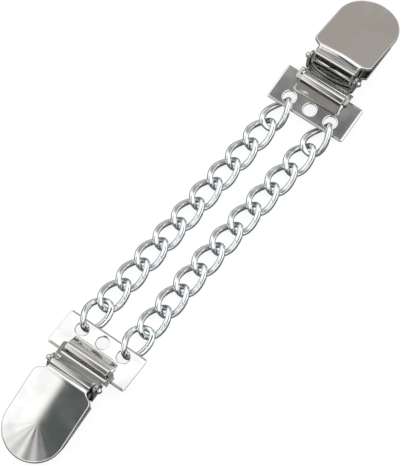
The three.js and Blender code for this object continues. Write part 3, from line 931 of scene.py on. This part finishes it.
def pivot_pin():
    """A profile of radius against length turned once about the X axis: a quarter ellipse for
    each domed head, its short cylinder and the shank between."""
    face = EAR_OUTSIDE + HEAD_PLAY
    quarter = np.linspace(math.pi / 2, 0, 12)
    dome = np.stack([
        face + HEAD_CYLINDER + (PIN_HEAD_LENGTH - HEAD_CYLINDER) * np.sin(quarter),
        PIN_HEAD_RADIUS * np.cos(quarter),
    ], axis=1)
    half = np.concatenate([
        dome,
        [(face + PIN_HEAD_EDGE, PIN_HEAD_RADIUS), (face, PIN_HEAD_RADIUS - PIN_HEAD_EDGE)],
        [(face, PIN_RADIUS)],
    ])
    profile = np.concatenate([half, half[::-1] * (-1, 1)])
    turn = np.linspace(0, 2 * math.pi, 40, endpoint=False)
    along = np.broadcast_to(profile[:, :1], (len(profile), len(turn)))
    radius = profile[:, 1:]
    points = np.stack([along, radius * np.cos(turn), radius * np.sin(turn)], axis=2)
    faces = grid_faces(len(profile), len(turn), closed_columns=True)[:, ::-1]
    return joined([(points.reshape(-1, 3), faces.tolist())])


for end in SIDES:
    points, *rest = pivot_pin()
    points = points + (0, PIN_ALONG, PIN_UP - SHEET / 2)
    metal_piece(f"{end}_rivet_pin", (on_clip(in_jaws(points, end), end), *rest), sheet_nickel,
                f"{end}_pivot_pin")


# Levers: the polished covers that snap the clips shut, pressed from nickel plated sheet into a low
# roof with a cone-shaped round end. A rolled lip and two cams at the hinge edge turn on the pin.
LEVER_TILT = math.radians(8.5)
LEVER_PLANE = 3.95
LEVER_NEAR = 1.3
LEVER_HALF_WIDTH = 9.85
LEVER_NECK = 7
NECK_CORNER = 0.5
NECK_FLARE = 0.2
NECK_PULL = 2.1
LEVER_SHOULDER = 5.2
SHOULDER_PULL = 2.2
LEVER_ROUND_CENTRE = 18.4
LEVER_APEX = 16.2
LEVER_CROWN = 0.8
LEVER_RIDGE_START = 4.2
RIDGE_SOFTNESS = 0.16
LEVER_RIM = 1.15
RIM_ROUND = 0.4
SKIRT_ROUND = 0.2
ROLL_START = 3.3
ROLL_RADIUS = 3.2
RIPPLE = 0.02
RIPPLE_BROAD = 11
RIPPLE_FINE = 17
RIPPLE_SHIFT = 1
LEVER_SHEET = 0.7
LIP_RADIUS = 3.5
LIP_START = math.radians(48)
LIP_END = math.radians(102)
LIP_EDGE = 0.12
CAM_RADIUS = 1.95
CAM_NOSE = (math.radians(275), math.radians(360))
CAM_HEEL_RADIUS = 1.5
CAM_HEEL = (math.radians(150), math.radians(215))
CAM_IN_LIP = (LIP_START + 0.1, LIP_END - 0.05)
CAM_TOP_BACK = 2.9
CAM_TOP_FRONT = 0.2
CAM_UNDER_TOP = 0.5
CAM_HOLE = 0.85
CAM_EDGE = 0.1

lever_nickel = plated("lever_nickel", bright=(0.80, 0.79, 0.77), dull=(0.74, 0.725, 0.70),
                      smooth=0.13, rough=0.20, swell=0.10)


def lever_outline():
    """The lever's edge seen from above, anticlockwise from the middle of its hinge edge: a rounded
    neck corner, an S-shaped shoulder, a straight side and a half circle, then mirrored."""
    share = np.linspace(0, 1, 24)[:, None]
    pulls = np.array([
        (LEVER_NECK, LEVER_NEAR + NECK_CORNER),
        (LEVER_NECK + NECK_FLARE, LEVER_NEAR + NECK_PULL),
        (LEVER_HALF_WIDTH, LEVER_SHOULDER - SHOULDER_PULL),
        (LEVER_HALF_WIDTH, LEVER_SHOULDER),
    ])
    shoulder = (pulls[0] * (1 - share) ** 3 + 3 * pulls[1] * share * (1 - share) ** 2
                + 3 * pulls[2] * share ** 2 * (1 - share) + pulls[3] * share ** 3)
    right = np.concatenate([
        [(0, LEVER_NEAR)],
        arc(LEVER_NECK - NECK_CORNER, LEVER_NEAR + NECK_CORNER, NECK_CORNER,
            -math.pi / 2, 0, steps=7),
        shoulder[1:],
        arc(0, LEVER_ROUND_CENTRE, LEVER_HALF_WIDTH, 0, math.pi / 2, steps=60),
    ])
    left = right[1:-1][::-1] * (-1, 1)
    return evenly(np.concatenate([right, left]), step=0.3)


def lever_height(flat, share):
    """Height of the lever's top face: a roof with a softened ridge, a hyperbola of the share of
    the way from ridge to edge, rolled down along a circle at the hinge edge. Faint pressing
    ripples, two sines of the angle about the ridge's end, fan out over the round end."""
    x, y = flat[..., 0], flat[..., 1]
    rise = np.hypot(share, RIDGE_SOFTNESS) - RIDGE_SOFTNESS
    roof = LEVER_CROWN * (1 - rise / (math.hypot(1, RIDGE_SOFTNESS) - RIDGE_SOFTNESS))
    rolled = np.clip(ROLL_START - y, 0, ROLL_RADIUS)
    beyond = np.maximum(y - LEVER_APEX, 0)
    angle = np.arctan2(x, beyond + ROUNDING)
    waves = np.sin(RIPPLE_BROAD * angle) + np.sin(RIPPLE_FINE * angle + RIPPLE_SHIFT)
    ripple = np.where(beyond > 0, RIPPLE * share * np.cos(angle) ** 2 * waves, 0)
    return LEVER_PLANE + roof - ripple - ROLL_RADIUS + np.sqrt(ROLL_RADIUS ** 2 - rolled ** 2)


def lever_cover():
    """Rings from the ridge out to the edge, over the rim, down the skirt and back inside. A ring
    lies at a share of the way from the ridge to the edge, and drops below the top face by its own
    depth."""
    outline = lever_outline()
    ridge = np.stack([
        np.zeros(len(outline)),
        np.clip(outline[:, 1], LEVER_RIDGE_START, LEVER_APEX),
    ], axis=1)
    reach = outline - ridge
    length = np.linalg.norm(reach, axis=1)[:, None]
    share = np.linspace(0, 1, 40)
    quarter = np.linspace(0, math.pi / 2, 7)[1:]
    inner = np.linspace(1, 0, 16)
    turn = np.linspace(0, math.pi, 9)
    ring_share = np.concatenate([share, np.ones(len(quarter) + len(turn)), inner])
    inset = np.concatenate([
        np.full(len(share), RIM_ROUND),
        RIM_ROUND * (1 - np.sin(quarter)),
        LEVER_SHEET / 2 * (1 - np.cos(turn)),
        np.full(len(inner), LEVER_SHEET),
    ])
    depth = np.concatenate([
        np.zeros(len(share)),
        RIM_ROUND * (1 - np.cos(quarter)),
        LEVER_RIM - SKIRT_ROUND + SKIRT_ROUND * np.sin(turn),
        np.full(len(inner), LEVER_SHEET),
    ])
    scale = ring_share[:, None, None] * (length - inset[:, None, None]) / length
    flat = ridge + reach * scale
    beside = np.abs(flat[..., 0]) / LEVER_HALF_WIDTH
    out = np.where(outline[:, 1] > LEVER_APEX, scale[..., 0], beside)
    height = lever_height(flat, out) - depth[:, None]
    points = np.concatenate([flat, height[..., None]], axis=2)
    faces = grid_faces(*height.shape, closed_columns=True)[:, ::-1]
    return points.reshape(-1, 3), faces.tolist()


def lever():
    """The cover with its rolled lip, a strip bent to part of a circle about the pin, and two cams,
    blanks with a round heel and a larger nose that press the grip plate down."""
    middle = LIP_RADIUS - LEVER_SHEET / 2
    lip = bent_strip(arc(0, 0, middle, LIP_END, LIP_START, steps=40),
                     LEVER_NECK, LEVER_SHEET, LIP_EDGE)
    cam_top = LEVER_PLANE - CAM_UNDER_TOP
    side = np.concatenate([
        [(LEVER_NEAR + CAM_TOP_BACK, cam_top), (LEVER_NEAR + CAM_TOP_FRONT, cam_top)],
        arc(0, 0, middle, *CAM_IN_LIP, steps=24),
        arc(0, 0, CAM_HEEL_RADIUS, *CAM_HEEL, steps=12),
        arc(0, 0, CAM_RADIUS, *CAM_NOSE, steps=16),
    ])
    hole = round_hole(0, 0, CAM_HOLE, sides=32)
    edge = round_edge(LEVER_SHEET, CAM_EDGE)
    points, *rest = stamped_blank([evenly(side, step=0.3), hole], edge)
    upright = points[:, [2, 0, 1]]
    aside = LEVER_NECK - LEVER_SHEET / 2
    cams = [(upright + (place * aside, 0, 0), *rest) for place in (-1, 1)]
    return joined([lever_cover(), lip, *cams])


for end in SIDES:
    points, *rest = lever()
    points = tipped(points, -LEVER_TILT) + (0, PIN_ALONG, PIN_UP - SHEET / 2)
    metal_piece(f"{end}_snap_lever", (on_clip(in_jaws(points, end), end), *rest), lever_nickel,
                f"{end}_lever")


# Chains: two runs of eleven curb links of bright plated wire. Each link is an oval bent from a cut
# length, closed end to end on its long side, twisted and rolled a little flat.
WIRE_INNER_WIDTH = 1.1
WIRE_OUTER_WIDTH = 0.8
WIRE_HALF_HEIGHT = 0.78
WIRE_SQUARENESS = 2.5
WIRE_LENGTH = 27
WIRE_GIRTH = 5
WIRE_SCALES = {"Smear Scale": 0.35, "Hairline Scale": 12, "Swell Scale": 0.12}
LINK_HALF_WIDTH = 3.4
LINK_HALF_LENGTH = 5.25
LINK_TWIST = math.radians(45)
LINK_SQUARENESS = 2.4
END_LINK_ROLL = math.radians(22)
RIGHT_CHAIN_BOW = 0.8
SEAM_PLACE = 0.03
SEAM_WIDTH = 0.07
SEAM_DEPTH = 0.09
LINE_STEPS = 4001
ALONG_WIRE = 160
ROUND_WIRE = 40

wire_nickel = plated("wire_nickel", bright=(0.85, 0.88, 0.88), dull=(0.75, 0.775, 0.78),
                     smooth=0.10, rough=0.20, swell=0.05,
                     scales=WIRE_SCALES, coordinates="UV", turn=(0, 0, 0))


def squared(wave, squareness):
    """A sine or cosine raised to the power of two over the squareness, with its sign kept."""
    return np.sign(wave) * np.abs(wave) ** (2 / squareness)


def link_line(angle):
    """A rounded oval, cosine and sine raised to a power, turned about its long axis in proportion
    to the place along it."""
    wide = LINK_HALF_WIDTH * squared(np.cos(angle), LINK_SQUARENESS)
    along = LINK_HALF_LENGTH * squared(np.sin(angle), LINK_SQUARENESS)
    twist = LINK_TWIST * along / LINK_HALF_LENGTH
    return np.stack([wide * np.cos(twist), along, wide * np.sin(twist)], axis=1)


def curb_link():
    """An oval with flattened sides, cosine and sine raised to a power, carried along the link's
    line at even lengths. Its inner half is broad on the long sides, narrows with the square of the
    way to the link's ends, where the next link hangs, and dips at the seam of the wire's ends."""
    fine = link_line(np.linspace(0, 2 * math.pi, LINE_STEPS))
    lengths = np.concatenate([[0], np.cumsum(np.linalg.norm(np.diff(fine, axis=0), axis=1))])
    ruler = np.linspace(0, lengths[-1], ALONG_WIRE, endpoint=False)
    centre = np.stack([np.interp(ruler, lengths, column) for column in fine.T], axis=1)
    along = np.roll(centre, -1, axis=0) - np.roll(centre, 1, axis=0)
    along /= np.linalg.norm(along, axis=1)[:, None]
    outward = centre - np.sum(centre * along, axis=1)[:, None] * along
    outward /= np.linalg.norm(outward, axis=1)[:, None]
    beside = np.cross(along, outward)
    turn = np.linspace(0, 2 * math.pi, ROUND_WIRE, endpoint=False)
    dip = SEAM_DEPTH * np.exp(-((ruler - SEAM_PLACE * lengths[-1]) / SEAM_WIDTH) ** 2)
    to_end = (np.abs(centre[:, 1]) / LINK_HALF_LENGTH) ** 2
    inner = WIRE_INNER_WIDTH + (WIRE_OUTER_WIDTH - WIRE_INNER_WIDTH) * to_end
    wide = squared(np.cos(turn), WIRE_SQUARENESS)
    wide = np.where(wide > 0, WIRE_OUTER_WIDTH, inner[:, None]) * wide
    high = WIRE_HALF_HEIGHT * squared(np.sin(turn), WIRE_SQUARENESS)
    ring = outward[:, None] * wide[..., None] + beside[:, None] * high[None, :, None]
    points = centre[:, None] + (1 - dip)[:, None, None] * ring
    faces = grid_faces(ALONG_WIRE, ROUND_WIRE, closed_rows=True, closed_columns=True)
    return points.reshape(-1, 3), faces.tolist()


def chain_link(name, points, faces, node):
    """One link with its own map: lengths along the wire and round it, about in millimetres. Faces
    over the seam of the map take the far end's value in place of 0."""
    made = metal_piece(name, joined([(points, faces)]), wire_nickel, node)
    corner = np.zeros(len(made.data.loops), int)
    made.data.loops.foreach_get("vertex_index", corner)
    row, column = corner // ROUND_WIRE, corner % ROUND_WIRE
    row_reach = np.ptp(row.reshape(-1, 4), axis=1).repeat(4)
    column_reach = np.ptp(column.reshape(-1, 4), axis=1).repeat(4)
    row = np.where((row_reach > 1) & (row == 0), ALONG_WIRE, row)
    column = np.where((column_reach > 1) & (column == 0), ROUND_WIRE, column)
    plan = np.stack([row / ALONG_WIRE * WIRE_LENGTH, column / ROUND_WIRE * WIRE_GIRTH], axis=1)
    along_wire = made.data.uv_layers.new(name="along_wire")
    along_wire.data.foreach_set("uv", plan.ravel().astype(np.float32))


def turned(points, climb, roll, lean):
    """Points rolled about Y, then climbed about X, then leaned about Z."""
    x, y, z = points.T
    rolled = np.stack([
        x * math.cos(roll) + z * math.sin(roll),
        y,
        z * math.cos(roll) - x * math.sin(roll),
    ], axis=1)
    return leaned(tipped(rolled, climb), lean)


link_points, link_faces = curb_link()
middle = (LINKS_PER_CHAIN - 1) / 2
end_along = flat_half + LINK_PITCH / 2 * math.cos(end_climb)
for side, offset, bow in (("left", -HOLE_SPACING, 0), ("right", HOLE_SPACING, RIGHT_CHAIN_BOW)):
    for i in range(LINKS_PER_CHAIN):
        end = np.sign(middle - i) if abs(middle - i) == middle else 0
        along = end * end_along if end else (middle - i) * LINK_PITCH
        place = (
            offset + along * math.sin(CHAIN_LEAN) - bow * math.sin(math.pi * i / (2 * middle)),
            along * math.cos(CHAIN_LEAN),
            CHAIN_HEIGHT + abs(end) * LINK_PITCH / 2 * math.sin(end_climb),
        )
        points = turned(link_points, end * end_climb, -end * END_LINK_ROLL, -CHAIN_LEAN) + place
        chain_link(f"{side}_wire_link_{i + 1:02d}", points, link_faces, f"{side}_link_{i + 1:02d}")
